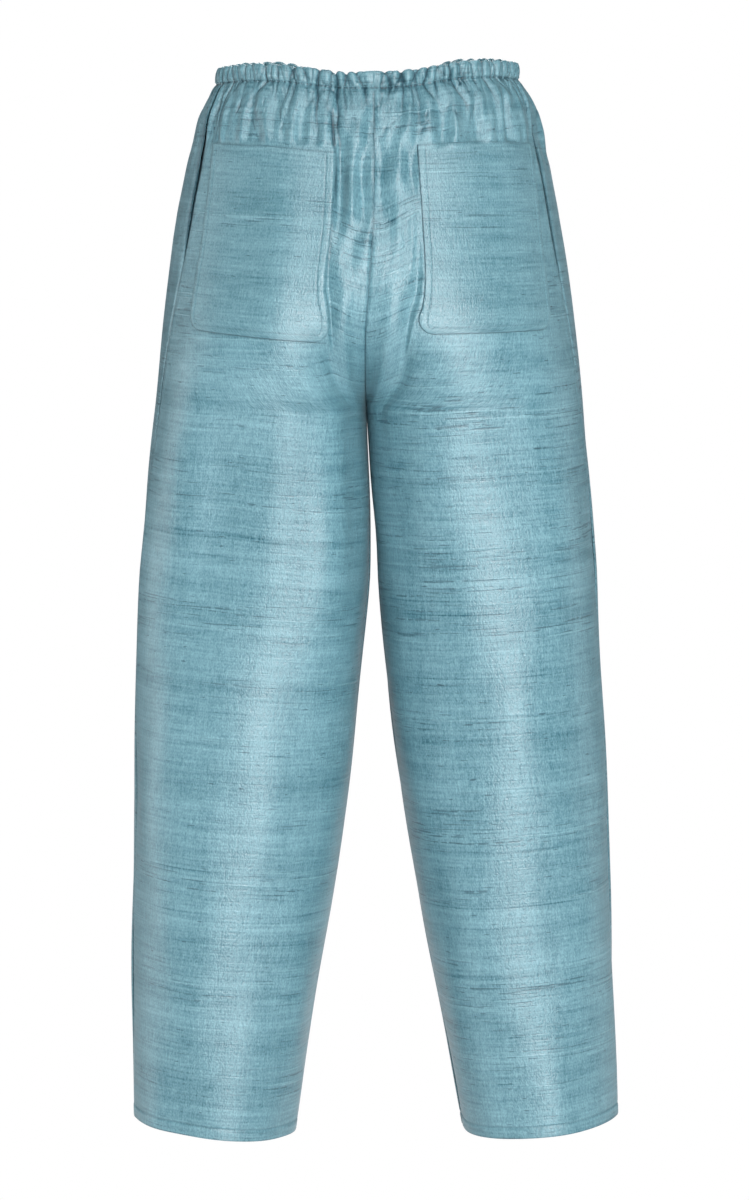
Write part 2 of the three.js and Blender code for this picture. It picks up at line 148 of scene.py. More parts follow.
# How square a section is, where 2 is an ellipse, and how round the crotch.
SQUARE, CROTCH_ROUND = 2.15, 1.8

# The round form by drop from the waist's top edge, in millimetres.
SECTION_COLUMNS = "drop out_left in_left in_right out_right back front wide rise".split()
SECTIONS = np.array([
    (0, 140, -6, -6, -140.5, 97, -95, 0, 0),
    (19, 144.5, -6, -6, -143.5, 98, -96, 0, 0),
    (35, 152.5, -6, -6, -152, 105, -101, 1, 0),
    (50, 159.5, -6, -6, -158, 110, -104, 2, 0),
    (75, 165.5, -6, -6, -164.5, 117, -107, 3, 0),
    (100, 171.2, -5.8, -5.8, -171.2, 123, -110, 4, 0),
    (150, 180.8, -5, -5, -180.8, 132, -113, 6, 0),
    (200, 187.6, -1.5, -1.5, -189, 138, -115, 8, 0.005),
    (250, 193.5, 2, 2, -195.4, 137, -115, 8, 0.012),
    (322, 200.6, 2, 2, -203, 127, -113, 7, 0.025),
    (360, 205.3, 0.6, 0, -206.6, 120, -111, 6, 0.03),
    (400, 209.5, -1.8, -3, -210.6, 114, -109, 5, 0.035),
    (450, 213, -2.8, -9, -214.8, 109, -107, 4, 0.04),
    (500, 217, -1.8, -12.3, -219, 105, -105, 3, 0.045),
    (600, 221.6, 9.4, -20, -223.6, 100, -101, 1, 0.05),
    (700, 224.3, 21.2, -32.7, -228.2, 97, -96, 0, 0.06),
    (800, 225.8, 34.8, -49, -231.6, 94, -91, 0, 0.07),
    (900, 226.5, 51, -67.8, -235, 91, -86, 1, 0.08),
    (1031, 226, 69.8, -91, -241, 89, -81, 3, 0.1),
])
SEAM_COLUMNS = "drop seam_left seam_right".split()
SIDE_SEAMS = np.array([
    (0, 14, 12),
    (35, 19, 15),
    (75, 23, 20),
    (150, 24, 21),
    (250, 23, 20),
    (322, 20, 17),
    (400, 16, 13),
    (500, 12, 10),
    (600, 11, 9),
    (1031, 11, 9),
])


def section(column, drop):
    """A table's column at any drop: a cubic through its rows."""
    names, table = (SECTION_COLUMNS, SECTIONS) if column in SECTION_COLUMNS else (SEAM_COLUMNS, SIDE_SEAMS)
    at, value = table[:, 0], table[:, names.index(column)]
    last = len(at) - 1
    before, after = np.maximum(np.arange(last + 1) - 1, 0), np.minimum(np.arange(last + 1) + 1, last)
    slope = (value[after] - value[before]) / (at[after] - at[before])
    i = np.clip(np.searchsorted(at, drop, side="left") - 1, 0, last - 1)
    length = at[i + 1] - at[i]
    t = np.clip((drop - at[i]) / length, 0, 1)
    s = 1 - t
    start = value[i] * (1 + 2 * t) * s * s + slope[i] * length * t * s * s
    return start + value[i + 1] * t * t * (3 - 2 * t) - slope[i + 1] * length * t * t * s


def smooth(low, high, x):
    t = np.clip((x - low) / (high - low), 0, 1)
    return t * t * (3 - 2 * t)


def near(away, width):
    """1 on a line, and next to nothing at twice its width away from it."""
    return np.exp(-((away / width) ** 2))


def unit(vectors):
    return vectors / np.maximum(np.linalg.norm(vectors, axis=-1, keepdims=True), 1e-9)


def corner_inset(radius, height):
    """How far a round lower corner lies in from the side, at a height over the foot."""
    up = np.minimum(radius, height)
    return radius - np.sqrt(np.maximum(0, radius**2 - (radius - up) ** 2))


def tube(side, drop):
    """Half width and centre of one leg's section, the turn where it ends and that of its side seam."""
    ending = "_left" if side == LEFT else "_right"
    outer, inner = section("out" + ending, drop), section("in" + ending, drop)
    to_fork = np.clip((drop - SPLIT) / (FORK - SPLIT), 0, 1)
    split = 1 - np.power(1 - to_fork * to_fork, CROTCH_ROUND)
    half_width = np.abs(outer - inner) / (1 + split)
    end_turn = np.arccos(-np.power(split, SQUARE / 2))
    return half_width, inner + side * half_width * split, end_turn, np.radians(section("seam" + ending, drop))


def body_point(side, turn, drop):
    """The round form without folds. turn is 0 at the outermost side, and positive goes to the back."""
    half_width, centre = tube(side, drop)[:2]
    wide = section("wide", drop)
    depth = np.where(turn > 0, section("back", drop) - wide, wide - section("front", drop))
    cosine, sine = np.cos(turn), np.sin(turn)
    x = centre + side * half_width * np.sign(cosine) * np.abs(cosine) ** (2 / SQUARE)
    y = wide + depth * np.sign(sine) * np.abs(sine) ** (2 / SQUARE)
    dip = np.where(turn > 0, BACK_DIP, FRONT_DIP) * smooth(DIP_START, DIP_FULL, np.abs(turn))
    dip = dip + SIDE_DIP * (1 - smooth(0, SIDE_DIP_END, np.abs(turn)))
    waist = 1 - smooth(0, DIP_FADE, drop)
    z = WAIST_TOP - drop + section("rise", drop) * np.abs(x) - (dip + WAIST_LEAN * x) * waist
    return np.stack([x, y, z], axis=-1)


# Creases that start at the elastic, one between each two puffs of the casing: share of the way from side seam
# to centre seam at the top edge and at the crease's end, drop of that end, and depth.
CREASES = {
    "back_left": [
        (0.012, 0.006, 92, 3.0), (0.09, 0.03, 88, 2.6), (0.166, 0.085, 92, 2.8), (0.232, 0.2, 34, 1.5),
        (0.293, 0.3, 40, 1.7), (0.36, 0.37, 30, 1.4), (0.45, 0.31, 42, 3.2), (0.52, 0.53, 36, 1.6),
        (0.592, 0.565, 46, 2.6), (0.626, 0.6, 54, 2.2), (0.69, 0.7, 40, 1.8), (0.742, 0.762, 80, 3.2),
        (0.801, 0.8, 44, 1.8), (0.839, 0.868, 112, 4.2), (0.872, 0.89, 52, 2.2), (0.899, 0.91, 40, 1.8),
        (0.956, 0.985, 36, 2.8),
    ],
    "back_right": [
        (0.05, 0.03, 60, 1.8), (0.12, 0.08, 66, 2.0), (0.2, 0.17, 44, 1.8), (0.276, 0.18, 34, 3.0),
        (0.33, 0.3, 30, 1.5), (0.391, 0.34, 42, 3.0), (0.466, 0.45, 34, 1.7), (0.54, 0.52, 36, 1.8),
        (0.609, 0.525, 52, 3.2), (0.65, 0.64, 30, 1.6), (0.706, 0.7, 36, 1.8), (0.766, 0.72, 34, 3.2),
        (0.802, 0.8, 60, 2.0), (0.827, 0.83, 50, 2.0), (0.872, 0.88, 44, 3.0), (0.929, 0.948, 34, 2.8),
    ],
}
FRONT_CREASES = 20
for name, panel in PANELS.items():
    draw = np.random.default_rng(panel["seed"])
    if name not in CREASES:
        places = (np.arange(FRONT_CREASES) + 0.5 + draw.uniform(-0.3, 0.3, FRONT_CREASES)) / FRONT_CREASES
        CREASES[name] = [
            (at, at + draw.uniform(-0.06, 0.05), 26 + 70 * draw.random() ** 2, draw.uniform(1.5, 3.4))
            for at in places
        ]
    gaps = list(zip([0.0] + [c[0] for c in CREASES[name]], [c[0] for c in CREASES[name]] + [1.0]))
    for low, high in gaps:
        at = low + (high - low) * draw.uniform(0.35, 0.65)
        CREASES[name].append((at, at + draw.uniform(-0.02, 0.02), draw.uniform(19, 27), draw.uniform(0.5, 1.1)))

# Longer folds: panel, share and drop at both ends, width and depth. A ridge has a negative depth.
LONG_FOLDS = [
    ("back_left", 0.85, 56, 0.866, 170, 4.6, 6.2),
    ("back_left", 0.905, 48, 0.925, 160, 4.5, -3.6),
    ("back_left", 0.915, 60, 0.975, 172, 5.5, 6.0),
    ("back_left", 0.395, 22, 0.43, 110, 9.0, 3.4),
    ("back_left", 0.5, 24, 0.5, 112, 8.0, -2.6),
    ("back_left", 0.66, 24, 0.66, 112, 6.0, 2.6),
    ("back_left", 0.28, 34, 0.265, 114, 7.0, -2.8),
    ("back_left", 0.85, 155, 0.80, 340, 9.0, 6.0),
    ("back_left", 0.92, 168, 0.86, 330, 9.0, -3.2),
    ("back_left", 0.85, 160, 0.99, 176, 2.2, 1.0),
    ("back_left", 0.86, 178, 0.99, 186, 2.2, 0.9),
    ("back_left", 0.9, 201, 0.985, 209, 2.2, 0.9),
    ("back_left", 0.36, 245, 0.34, 640, 38.0, 11.0),
    ("back_left", 0.7, 215, 0.66, 640, 25.0, -8.5),
    ("back_left", 0.6, 10, 0.63, 360, 24.0, -3.6),
    ("back_left", 0.815, 20, 0.845, 150, 1.3, 1.4),
    ("back_left", 0.83, 120, 0.84, 200, 1.6, 0.9),
    ("back_right", 0.925, 48, 0.975, 176, 8.0, 6.4),
    ("back_right", 0.834, 24, 0.93, 140, 6.0, -4.0),
    ("back_right", 0.87, 62, 0.845, 128, 5.0, 3.0),
    ("back_right", 0.56, 28, 0.48, 112, 8.0, 3.0),
    ("back_right", 0.66, 24, 0.61, 110, 7.0, -2.8),
    ("back_right", 0.3, 24, 0.25, 112, 6.0, 3.4),
    ("back_right", 0.4, 34, 0.395, 108, 6.0, -2.6),
    ("back_right", 0.8, 150, 0.812, 370, 11.0, 6.4),
    ("back_right", 0.9, 178, 0.885, 345, 10.0, -3.4),
    ("back_right", 0.99, 149, 0.81, 131, 2.2, 1.2),
    ("back_right", 0.84, 60, 0.72, 56, 1.2, 0.9),
    ("back_right", 0.36, 245, 0.38, 480, 34.0, 4.6),
    ("back_right", 0.62, 225, 0.6, 480, 28.0, -3.6),
    ("back_right", 0.97, 236, 0.84, 226, 2.4, 1.0),
    ("front_left", 0.87, 20, 0.9, 150, 5.0, 4.6),
    ("front_left", 0.62, 20, 0.59, 120, 6.0, 3.8),
    ("front_left", 0.36, 20, 0.3, 100, 6.0, 3.4),
    ("front_left", 0.74, 40, 0.72, 190, 10.0, -2.4),
    ("front_left", 0.97, 190, 0.8, 290, 9.0, 2.4),
    ("front_left", 0.99, 230, 0.84, 340, 8.0, 2.2),
    ("front_right", 0.92, 20, 0.93, 170, 5.0, 4.4),
    ("front_right", 0.72, 20, 0.68, 104, 6.0, 3.6),
    ("front_right", 0.45, 20, 0.4, 118, 6.0, 3.6),
    ("front_right", 0.83, 40, 0.82, 200, 10.0, -2.4),
    ("front_right", 0.97, 196, 0.8, 286, 9.0, 2.4),
    ("front_right", 0.99, 236, 0.85, 345, 8.0, 2.2),
]
# Folds up to NARROW wide also get painted shade in their valleys, and those over BROAD run on under the patch
# pockets.
NARROW, BROAD = 2.0, 20.0

# Where a patch pocket holds its panel flat: shares of its outer and inner edge at top and foot, drops of its
# top and foot at the outer edge, and how much further down each is at the inner edge.
PATCHES = {
    "back_left": {"outer": (0.11, 0.18), "inner": (0.838, 0.835), "drop": (74.5, 249.0), "slope": (4.0, 7.0)},
    "back_right": {"outer": (0.072, 0.18), "inner": (0.815, 0.79), "drop": (77.5, 249.0), "slope": (-5.0, 0.0)},
}


def held_flat(name, share, drop):
    """1 where a patch pocket holds the panel flat, and 0 away from it."""
    if name not in PATCHES:
        return np.zeros_like(share)
    patch = PATCHES[name]
    top, foot = patch["drop"]
    sides = smooth(patch["outer"][0] - 0.07, patch["outer"][0] - 0.01, share)
    sides = sides * (1 - smooth(patch["inner"][0] - 0.012, patch["inner"][0] + 0.012, share))
    return sides * smooth(top - 7, top + 2, drop) * (1 - smooth(foot + 2, foot + 30, drop))


# The mouths of the side seam pockets part the side seam: drops of both ends, and how wide they are open.
MOUTHS = {LEFT: {"top": 46.0, "foot": 190.0, "open": 4.4}, RIGHT: {"top": 62.0, "foot": 214.0, "open": 2.6}}


def panel_turn(panel, share, drop):
    """The turn at a share of a panel's way from side seam to centre seam or inseam."""
    face = panel["face"]
    _, _, end_turn, seam_turn = tube(panel["side"], drop)
    depth = np.abs(section("back" if face == BACK else "front", drop))
    mouth = MOUTHS[panel["side"]]
    along = np.clip((drop - mouth["top"]) / (mouth["foot"] - mouth["top"]), 0, 1)
    gap = mouth["open"] * np.sin(np.pi * along) ** 0.6
    start = seam_turn + face * gap / 2 / depth
    return start + (face * end_turn - start) * share


def panel_width(panel, drop):
    """Millimetres of cloth from side seam to centre seam or inseam."""
    half_width, _, _, seam_turn = tube(panel["side"], drop)
    depth = np.abs(section("back" if panel["face"] == BACK else "front", drop))
    return (half_width + depth) / 2 * np.abs(panel_turn(panel, 1.0, drop) - seam_turn)


def crease_runs(name, share, drop):
    """Of each crease: its depth, how far along it a place is, and the place's millimetres across from it.
    A crease leans inside the casing, and wavers a little on its way down."""
    width_here = panel_width(PANELS[name], drop)
    for at, at_end, end, deep in CREASES[name]:
        along = np.clip((drop - STITCH_ROW) / (end - STITCH_ROW), 0, 1)
        across = (share - at - (at_end - at) * along) * width_here
        lean = 0.3 * math.sin(97 * at) * np.minimum(drop - STITCH_ROW, 0)
        yield deep, along, across + lean + 0.5 * np.sin(drop / 4.5 + 40 * at)


def crease_depth(name, share, drop):
    """Narrow valleys with round cloth between them, which widen and fade down from the elastic."""
    depth = np.zeros_like(share)
    for deep, along, across in crease_runs(name, share, drop):
        reach = across / (1.9 + 3.4 * along)
        fade = (1 - along) ** 1.2 * (0.8 + 0.2 * smooth(2, 10, drop))
        depth += 1.35 * deep * fade * np.exp(0.22 - 1.1 * np.sqrt(0.04 + reach * reach))
    return depth


# Short puckers on both sides of the casing's stitches, each drawn at random: their number, and the drops
# between which they lie.
PUCKERS, PUCKER_TOP, PUCKER_FOOT = 90, 9, 58


def pucker_depth(name, share, drop):
    draw = np.random.default_rng(PANELS[name]["seed"] + 9)
    width_here = panel_width(PANELS[name], drop)
    depth = np.zeros_like(share)
    for _ in range(PUCKERS):
        at, down = draw.uniform(0, 1), PUCKER_TOP + (PUCKER_FOOT - PUCKER_TOP) * draw.random() ** 2.2
        lean, half_length = draw.normal(0, 0.55), draw.uniform(3, 9)
        across, along = (share - at) * width_here, drop - down
        off = (across * math.cos(lean) - along * math.sin(lean)) / draw.uniform(0.8, 1.3)
        run = (across * math.sin(lean) + along * math.cos(lean)) / half_length
        depth += draw.uniform(0.35, 1.0) * np.exp(-off * off - run * run)
    return depth


# How strong the painted shade is at each narrow place, from 0 to 1.
PUCKER_SHADE, ROW_SHADE, MOUTH_SHADE, SEAM_SHADE = 0.5, 0.4, 0.95, 0.55
HEM_ROW_SHADE, HEM_EDGE_SHADE, LEGS_SHADE = 0.3, 0.4, 0.36


def painted_fold_shade(name, share, drop):
    """Painted shade from 0 to 1: in the narrowest folds, along seams, stitches and the hem, and between the
    legs.
    """
    shade = PUCKER_SHADE * pucker_depth(name, share, drop)
    for deep, along, across in crease_runs(name, share, drop):
        shade += min(deep / 2.8, 1.1) * (1 - along) ** 0.7 * near(across, 0.75 + 0.5 * along)
    stitches = 1 + np.sin(share * 310 + 3 * np.sin(share * 47))
    shade += ROW_SHADE * near(drop - STITCH_ROW, 0.8) * stitches
    shade += long_fold_depth(name, share, drop, 0, NARROW)
    width_here = panel_width(PANELS[name], drop)
    from_side, from_centre = share * width_here, (1 - share) * width_here
    # Painted shade in the open mouth of the side seam pocket.
    mouth = MOUTHS[PANELS[name]["side"]]
    at_mouth = smooth(mouth["top"] - 8, mouth["top"] + 14, drop)
    at_mouth = at_mouth * (1 - smooth(mouth["foot"] - 40, mouth["foot"], drop))
    shade += MOUTH_SHADE * at_mouth * near(from_side, 0.62 * mouth["open"])
    at_seam = near(from_centre, 0.9) + 0.6 * near(from_side, 0.8)
    shade += SEAM_SHADE * at_seam * smooth(CASING - 2, CASING + 2, drop)
    shade += HEM_ROW_SHADE * near(drop - HEM_ROW, 0.9) + HEM_EDGE_SHADE * smooth(HEM - 2, HEM, drop)
    # Painted shade on the inner thighs, where the other leg shades them.
    between_legs = smooth(300, 350, drop) * (1 - smooth(560, 760, drop))
    shade += LEGS_SHADE * between_legs * near(from_centre, 26)
    return np.clip(shade, 0, 1) * (1 - held_flat(name, share, drop))


def long_fold_depth(name, share, drop, narrowest, widest):
    """The depth of the long folds whose width lies between the two."""
    width_here = panel_width(PANELS[name], drop)
    depth = np.zeros_like(share)
    for owner, share_a, drop_a, share_b, drop_b, width, deep in LONG_FOLDS:
        if owner != name or not narrowest < width <= widest:
            continue
        length = math.hypot((share_b - share_a) * PANEL_WIDTH, drop_b - drop_a)
        run = ((share_b - share_a) * PANEL_WIDTH / length, (drop_b - drop_a) / length)
        x, y = (share - share_a) * width_here, drop - drop_a
        along = (x * run[0] + y * run[1]) / length
        across = x * run[1] - y * run[0]
        depth += deep * smooth(0, 0.35, along) * (1 - smooth(0.55, 1, along)) * near(across, width)
    return depth


# Waves across a panel and their depth. Those of the legs also have a length down the leg.
GATHER_WAVES = ((4.4, 1.3), (6.8, 1.5), (9.6, 1.2), (13.2, 0.7))
LEG_WAVES = ((1.4, 610, 1.5), (2.6, 350, 1.1), (4.3, 190, 0.5))


def drape_depth(name, share, drop):
    """Slow waves: close ones that the gathers spread out into, and very wide ones down the legs."""
    draw = np.random.default_rng(PANELS[name]["seed"] + 3)
    reach = 78 + 80 * smooth(0.8, 0.86, share)
    fade = smooth(STITCH_ROW, 42, drop) * (1 - smooth(reach * 0.8, reach * 1.4, drop))
    depth = np.zeros_like(share)
    for waves, size in GATHER_WAVES:
        phase, lean = draw.uniform(0, 2 * np.pi), draw.uniform(-0.05, 0.05)
        uneven = 0.65 + 0.5 * np.sin(2 * np.pi * 0.37 * waves * share + 2 * phase + 0.045 * drop)
        depth += size * fade * uneven * np.sin(2 * np.pi * waves * share + phase + lean * drop)
    legs = smooth(240, 420, drop)
    for waves, drops, size in LEG_WAVES:
        phase, other = draw.uniform(0, 2 * np.pi, 2)
        across = np.sin(2 * np.pi * waves * share + phase)
        depth += size * legs * across * np.sin(2 * np.pi * drop / drops + other)
    return depth


# How far the cloth is drawn in, or puffs out where the depth is taken off, in millimetres.
CRUMPLE, PUFF, BELOW_CASING, PINCH, SEAM, ALLOWANCE = 0.3, 1.9, 1.2, 1.1, 0.9, 0.25
HEM_GROOVE, HEM_STEP = 0.45, 0.35


def fold_depth(name, share, drop):
    """How far gathers, folds, seams and stitches draw the cloth in."""
    depth = crease_depth(name, share, drop) + pucker_depth(name, share, drop) + drape_depth(name, share, drop)
    depth += long_fold_depth(name, share, drop, 0, BROAD)
    crumple = CRUMPLE * np.sin(share * 61 + 2.1 * np.sin(drop / 23))
    crumple = crumple * np.sin(drop / 9.5 + 3 * np.sin(share * 17))
    depth += crumple * (1 - smooth(40, 230, drop)) * smooth(CASING, 34, drop)
    depth *= 1 - held_flat(name, share, drop)
    depth += long_fold_depth(name, share, drop, BROAD, np.inf)
    puff = PUFF * np.sin(np.pi * np.clip(drop / STITCH_ROW, 0, 1)) ** 0.7
    below = BELOW_CASING * smooth(STITCH_ROW, 22, drop) * (1 - smooth(24, 46, drop))
    pinch = PINCH * near(drop - STITCH_ROW, 0.9)
    width_here = panel_width(PANELS[name], drop)
    from_side, from_centre = share * width_here, (1 - share) * width_here
    seam = SEAM * near(from_side, 1.6) + SEAM * near(from_centre, 1.5)
    allowance = ALLOWANCE * (smooth(9, 12, from_side) + smooth(9, 12, from_centre) - 2)
    hem = HEM_GROOVE * near(drop - HEM_ROW, 1.1) - HEM_STEP * smooth(HEM_TURN, HEM_TURN + 3, drop)
    seams = (seam + allowance) * smooth(CASING - 4, CASING + 4, drop)
    return depth + pinch - puff - below + seams + hem


def normals_of(points, flip):
    """Unit normals of a grid of points."""
    return unit(np.cross(np.gradient(points, axis=0), np.gradient(points, axis=1)) * flip)


def cloth_points(name, share, drop):
    """Places on the folded outer surface of a panel, and the normals of the round form below them."""
    panel = PANELS[name]

    def form(s, d):
        return body_point(panel["side"], panel_turn(panel, s, d), d)

    low, high = np.maximum(share - 0.002, 0), np.minimum(share + 0.002, 1)
    across, down = form(high, drop) - form(low, drop), form(share, drop + 0.5) - form(share, drop - 0.5)
    normal = unit(np.cross(down, across) * panel["side"] * panel["face"])
    moved = fold_depth(name, share, drop)[..., None] * normal
    from_centre = (1 - share) * panel_width(panel, drop)
    moved[..., 0] *= 1 - near(from_centre, 8) * (drop < FORK)
    return form(share, drop) - moved, normal


def cloth_surface(name, share, drop):
    """The folded outer surface of a panel on a grid of shares and drops, with its normals."""
    points = cloth_points(name, share, drop)[0]
    return points, normals_of(points, PANELS[name]["side"] * PANELS[name]["face"])


# The cloth's width in the weave, and how far the wefts sag at the seat and the thigh, in millimetres.
WEAVE_WIDTH = 250
SAGS = {"back_left": (15, 9), "back_right": (18, 4), "front_left": (6, 3), "front_right": (6, 3)}


def cloth_coordinates(name, share, drop):
    """Metres across the weft and down the warp, which the weave follows. It sags at the seat and thigh."""
    seat, thigh = SAGS[name]
    sag = seat * smooth(0.78, 1, share) * smooth(80, 150, drop) * (1 - smooth(250, 360, drop))
    sag += thigh * share * smooth(270, 350, drop) * (1 - smooth(470, 620, drop))
    across = (share - 0.5) * WEAVE_WIDTH * (1 + 0.1 * smooth(0, 400, drop) - 0.25 * smooth(400, HEM, drop))
    seed = np.full_like(share, PANELS[name]["seed"] * 1.7)
    return np.stack([across * MM, (drop - sag) * MM, seed], axis=-1)


def quad_piece(name, points, faces, coordinates):
    """A piece of four-sided faces, with each point's place in its cloth or along its thread."""
    mesh = bpy.data.meshes.new(name)
    mesh.vertices.add(len(points))
    mesh.vertices.foreach_set("co", points.astype(np.float32).ravel())
    mesh.loops.add(faces.size)
    mesh.loops.foreach_set("vertex_index", faces.astype(np.int32).ravel())
    mesh.polygons.add(len(faces))
    mesh.polygons.foreach_set("loop_start", np.arange(0, faces.size, 4, dtype=np.int32))
    mesh.update(calc_edges=True)
    mesh.validate()
    cloth = mesh.attributes.new("cloth", "FLOAT_VECTOR", "POINT")
    cloth.data.foreach_set("vector", coordinates.astype(np.float32).ravel())
    mesh.shade_smooth()
    mesh.set_sharp_from_angle(angle=math.radians(55))
    piece = bpy.data.objects.new(name, mesh)
    bpy.context.scene.collection.objects.link(piece)
    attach(piece, "root")
    return piece


def cloth_wall(name, outer, inner, coordinates, shade=0.0, ring=False):
    """A closed sheet of cloth between two grids of points in millimetres, with painted shade on its outer side.
    """
    rows, columns = outer.shape[:2]
    ids = np.arange(rows * columns).reshape(rows, columns)
    if ring:
        ids = np.concatenate([ids, ids[:, :1]], axis=1)
    below = ids + rows * columns

    def quads(grid):
        return np.stack([grid[:-1, :-1], grid[:-1, 1:], grid[1:, 1:], grid[1:, :-1]], axis=-1).reshape(-1, 4)

    def rim(a, b):
        return np.stack([a[:-1], b[:-1], b[1:], a[1:]], axis=-1)

    faces = [quads(ids), quads(below)[:, ::-1], rim(ids[0], below[0]), rim(below[-1], ids[-1])]
    if not ring:
        faces += [rim(below[:, 0], ids[:, 0]), rim(ids[:, -1], below[:, -1])]
    faces = np.concatenate(faces)
    points = np.concatenate([outer.reshape(-1, 3), inner.reshape(-1, 3)]) * MM
    a, b, c, d = (points[faces[:, k]] for k in range(4))
    volume = np.einsum("ij,ij->i", a, np.cross(b, c)).sum() + np.einsum("ij,ij->i", a, np.cross(c, d)).sum()
    if volume < 0:
        faces = faces[:, ::-1]
    flat = coordinates.reshape(-1, 3)
    piece = quad_piece(name, points, faces, np.concatenate([flat, flat]))
    # The outer side gets the painted shade, the inner side none.
    dark = np.broadcast_to(shade, outer.shape[:2]).ravel()
    painted_shade = piece.data.attributes.new("painted_shade", "FLOAT", "POINT")
    painted_shade.data.foreach_set("value", np.concatenate([dark, 0 * dark]).astype(np.float32))
    return piece


# The thickest wefts: panel, share and drop of the middle, half length and half width in millimetres, and how
# much lighter or darker than the rest.
WEFT_MARKS = [
    ("back_left", 0.14, 375, 45, 0.8, -0.7),
    ("back_left", 0.42, 336, 160, 3.0, 0.3),
    ("back_left", 0.45, 446, 150, 5.5, -0.6),
    ("back_left", 0.48, 466, 90, 0.9, -0.5),
    ("back_left", 0.45, 490, 120, 3.0, -0.25),
    ("back_left", 0.47, 533, 150, 4.5, 0.4),
    ("back_left", 0.45, 560, 110, 1.2, 0.35),
    ("back_left", 0.34, 613, 70, 1.0, -0.35),
    ("back_left", 0.56, 652, 14, 1.0, -0.8),
    ("back_left", 0.51, 731, 150, 3.5, 0.45),
    ("back_left", 0.35, 767, 60, 0.9, -0.6),
    ("back_left", 0.53, 809, 140, 1.6, -0.4),
    ("back_left", 0.53, 817, 140, 1.4, 0.4),
    ("back_left", 0.54, 837, 120, 1.4, -0.45),
    ("back_left", 0.46, 875, 120, 2.2, 0.35),
    ("back_left", 0.45, 906, 45, 0.9, -0.5),
    ("back_left", 0.92, 169, 24, 0.8, -0.6),
    ("back_left", 0.92, 182, 22, 0.7, -0.5),
    ("back_left", 0.94, 205, 18, 0.7, -0.5),
    ("back_right", 0.9, 176, 22, 0.8, -0.55),
    ("back_right", 0.93, 172, 8, 1.2, -0.7),
    ("back_right", 0.89, 183, 22, 0.7, -0.4),
    ("back_right", 0.905, 140, 24, 1.3, -0.75),
    ("back_right", 0.9, 231, 24, 1.3, -0.6),
    ("back_right", 0.45, 318, 120, 1.5, -0.45),
    ("back_right", 0.5, 367, 15, 2.4, -1.1),
    ("back_right", 0.26, 358, 60, 2.5, 0.3),
    ("back_right", 0.32, 394, 70, 3.0, -0.4),
    ("back_right", 0.45, 425, 80, 0.9, -0.45),
    ("back_right", 0.6, 504, 120, 1.4, -0.6),
    ("back_right", 0.61, 517, 70, 0.9, -0.55),
    ("back_right", 0.55, 578, 90, 0.9, -0.5),
    ("back_right", 0.52, 747, 90, 2.4, -0.45),
    ("back_right", 0.56, 801, 110, 1.2, -0.7),
    ("back_right", 0.5, 821, 70, 0.9, -0.4),
    ("back_right", 0.56, 870, 90, 4.0, -0.35),
    ("back_right", 0.5, 909, 100, 3.0, -0.35),
    ("back_right", 0.53, 929, 9, 1.0, -1.1),
    ("back_right", 0.59, 976, 12, 1.2, -1.1),
]

# The weave: thick and thin wefts in bands, single slubs, dark flecks and faint warp lines, and painted shade
# from the mesh.
weave_group = bpy.data.node_groups.new("slub_weave", "ShaderNodeTree")
for way, socket, kind in [
    ("INPUT", "Dark", "Color"), ("INPUT", "Light", "Color"), ("INPUT", "Slubs", "Float"),
    ("OUTPUT", "Color", "Color"), ("OUTPUT", "Roughness", "Float"), ("OUTPUT", "Height", "Float"),
]:
    weave_group.interface.new_socket(socket, in_out=way, socket_type="NodeSocket" + kind)
weave_in = node(weave_group, "NodeGroupInput")
cloth_at = node(weave_group, "ShaderNodeAttribute", attribute_name="cloth").outputs["Vector"]
painted_shade = node(weave_group, "ShaderNodeAttribute", attribute_name="painted_shade").outputs["Fac"]


def streaks(across, down, detail, shift=0.0):
    """Noise drawn out along the cloth, with its frequencies per metre across and down."""
    inputs = {0: cloth_at, 1: (across, down, 1)}
    scaled = node(weave_group, "ShaderNodeVectorMath", inputs, operation="MULTIPLY").outputs[0]
    inputs = {0: scaled, 1: (shift, shift, shift)}
    moved = node(weave_group, "ShaderNodeVectorMath", inputs, operation="ADD").outputs[0]
    noise = node(weave_group, "ShaderNodeTexNoise", {"Vector": moved, "Scale": 1.0, "Detail": detail})
    return noise.outputs["Fac"]


def added(total, output, weight):
    """total, and output times its weight."""
    inputs = {0: output, 1: weight, 2: total}
    return node(weave_group, "ShaderNodeMath", inputs, operation="MULTIPLY_ADD").outputs[0]


def sums(*weighed):
    """0.5 and each output's distance from its middle, weighed."""
    total = 0.5 - sum(weight for _, weight in weighed) / 2
    for output, weight in weighed:
        total = added(total, output, weight)
    return total


def between(output, low, high, to_low=0.0, to_high=1.0):
    inputs = {"Value": output, "From Min": low, "From Max": high, "To Min": to_low, "To Max": to_high}
    return node(weave_group, "ShaderNodeMapRange", inputs, interpolation_type="SMOOTHSTEP").outputs[0]


def product(a, b):
    return node(weave_group, "ShaderNodeMath", {0: a, 1: b}, operation="MULTIPLY").outputs[0]


def mixed(tree, factor, a, b, **settings):
    """A mix of two colours. The node's colour inputs share their names with others, so they go by number."""
    return node(tree, "ShaderNodeMix", {0: factor, 6: a, 7: b}, data_type="RGBA", **settings).outputs[2]


